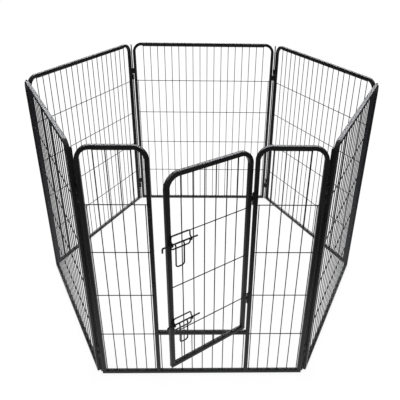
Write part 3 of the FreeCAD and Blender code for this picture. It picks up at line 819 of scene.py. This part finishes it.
# ---------------------------------------------------------------- the hexagon
def corners():
    half = PITCH / 2
    out = PITCH * math.cos(math.radians(SIDE_ANGLE))
    back = PITCH * math.sin(math.radians(SIDE_ANGLE))
    return {
        "front_left": (-half, PIN_IN), "front_right": (half, PIN_IN),
        "right": (half + out, PIN_IN + back),
        "back_right": (half, PIN_IN + 2 * back), "back_left": (-half, PIN_IN + 2 * back),
        "left": (-half - out, PIN_IN + back),
    }


AT = corners()
front_panel()
door()
bolt("upper")
bolt("lower")
for panel, (a, b, angle) in {
    "right_front": ("front_right", "right", SIDE_ANGLE),
    "right_back": ("right", "back_right", 180 - SIDE_ANGLE),
    "back": ("back_right", "back_left", 180.0),
    "left_back": ("back_left", "left", 180 + SIDE_ANGLE),
    "left_front": ("left", "front_left", -SIDE_ANGLE),
}.items():
    turn = math.radians(angle)
    plain_panel(panel, ((AT[a][0] + AT[b][0]) / 2 + math.sin(turn) * PIN_IN,
                        (AT[a][1] + AT[b][1]) / 2 - math.cos(turn) * PIN_IN, 0), angle)
MIDDLE_Y = PIN_IN + PITCH * math.sin(math.radians(SIDE_ANGLE))
for name, (x, y) in AT.items():
    heading = math.degrees(math.atan2(x, -(y - MIDDLE_Y)))
    build("pin_" + name, corner_pin(), turned((x, y, 0), heading), "pin_" + name,
          ["corner_pin_" + name], *HARDWARE)


# ---------------------------------------------------------------- studio
def glossy_switch(tree, plain, reflected, surface):
    """Shows one shader to reflections and the other to everything else."""
    mix = tree.nodes.new("ShaderNodeMixShader")
    tree.links.new(node(tree, "LightPath").outputs["Is Glossy Ray"], mix.inputs["Fac"])
    tree.links.new(plain, mix.inputs[1])
    tree.links.new(reflected, mix.inputs[2])
    tree.links.new(mix.outputs["Shader"], surface)


def ramp(tree, value, low, high, bottom=0.0, top=1.0):
    """Smooth ramp from bottom, up to low, to top, from high on."""
    n = node(tree, "MapRange", From_Min=low, From_Max=high, To_Min=bottom, To_Max=top)
    n.interpolation_type = "SMOOTHSTEP"
    tree.links.new(value, n.inputs["Value"])
    return n.outputs["Result"]


def floor():
    """White sweep; reflections see a sheet of paper, bright under the pen and dim further out."""
    r = FLOOR_REACH
    mesh = bpy.data.meshes.new("floor")
    mesh.from_pydata([(-r, -r, 0), (r, -r, 0), (r, r, 0), (-r, r, 0)], [], [(0, 1, 2, 3)])
    obj = bpy.data.objects.new("floor", mesh)
    bpy.context.scene.collection.objects.link(obj)
    material, tree, surface = blank_material("floor_white")
    link = tree.links.new
    paper = node(tree, "BsdfDiffuse", Color=(PAPER, PAPER, PAPER, 1))
    glow = node(tree, "Emission", Strength=PAPER_GLOW)
    lit = node(tree, "AddShader")
    link(paper.outputs["BSDF"], lit.inputs[0])
    link(glow.outputs["Emission"], lit.inputs[1])
    away = node(tree, "VectorMath")
    away.operation = "DISTANCE"
    away.inputs[1].default_value = (0.0, MIDDLE_Y * MM, 0.0)
    link(node(tree, "TexCoord").outputs["Object"], away.inputs[0])
    seen = node(tree, "Emission")
    link(ramp(tree, away.outputs["Value"], *SHEET_FADE), seen.inputs["Strength"])
    glossy_switch(tree, lit.outputs["Shader"], seen.outputs["Emission"], surface)
    material.cycles.emission_sampling = "NONE"
    mesh.materials.append(material)
    obj.location.z = -FLOOR_DROP


def softbox():
    data = bpy.data.lights.new("softbox", "AREA")
    data.shape = "RECTANGLE"
    data.size, data.size_y = SOFTBOX_SIZE
    data.energy = SOFTBOX_POWER
    obj = bpy.data.objects.new("softbox", data)
    obj.location = SOFTBOX_AT
    obj.rotation_mode = "QUATERNION"
    obj.rotation_quaternion = (Vector(SOFTBOX_AIM) - Vector(SOFTBOX_AT)).to_track_quat("-Z", "Y")
    bpy.context.scene.collection.objects.link(obj)


def world():
    """White all round for soft light; reflections see a dim room with a bright screen behind."""
    w = bpy.data.worlds.new("studio")
    bpy.context.scene.world = w
    w.use_nodes = True
    tree = w.node_tree
    link = tree.links.new
    plain = tree.nodes["Background"]
    plain.inputs["Color"].default_value = (1, 1, 1, 1)
    plain.inputs["Strength"].default_value = 1.0
    axes = node(tree, "SeparateXYZ")
    link(node(tree, "TexCoord").outputs["Generated"], axes.inputs["Vector"])
    band = math_node(tree, "SUBTRACT", ramp(tree, axes.outputs["Z"], *SCREEN_FOOT),
                     ramp(tree, axes.outputs["Z"], *SCREEN_HEAD))
    screen = math_node(tree, "MULTIPLY", band, ramp(tree, axes.outputs["Y"], *SCREEN_TURN))
    room = node(tree, "Background", Color=ROOM_TINT)
    link(math_node(tree, "MULTIPLY_ADD", screen, SCREEN_LIGHT, ROOM_DIM), room.inputs["Strength"])
    glossy_switch(tree, plain.outputs["Background"], room.outputs["Background"],
                  tree.nodes["World Output"].inputs["Surface"])
    w.cycles.sampling_method = "NONE"


def camera():
    data = bpy.data.cameras.new("camera")
    data.lens, data.sensor_width = LENS, SENSOR
    data.shift_x, data.shift_y = SHIFT_X, SHIFT_Y
    data.clip_end = SIGHT
    yaw, pitch, roll = (math.radians(v) for v in (CAMERA_YAW, CAMERA_PITCH, CAMERA_ROLL))
    level = math.cos(pitch)
    ahead = Vector((math.sin(yaw) * level, math.cos(yaw) * level, -math.sin(pitch)))
    right = ahead.cross(Vector((0, 0, 1))).normalized()
    up = right.cross(ahead)
    x = right * math.cos(roll) + up * math.sin(roll)
    y = up * math.cos(roll) - right * math.sin(roll)
    obj = bpy.data.objects.new("camera", data)
    m = Matrix((x, y, -ahead)).transposed().to_4x4()
    m.translation = CAMERA_AT
    obj.matrix_world = m
    bpy.context.scene.collection.objects.link(obj)
    bpy.context.scene.camera = obj


floor()
world()
softbox()
camera()
bpy.context.scene.view_settings.view_transform = "Standard"

bpy.context.view_layer.update()
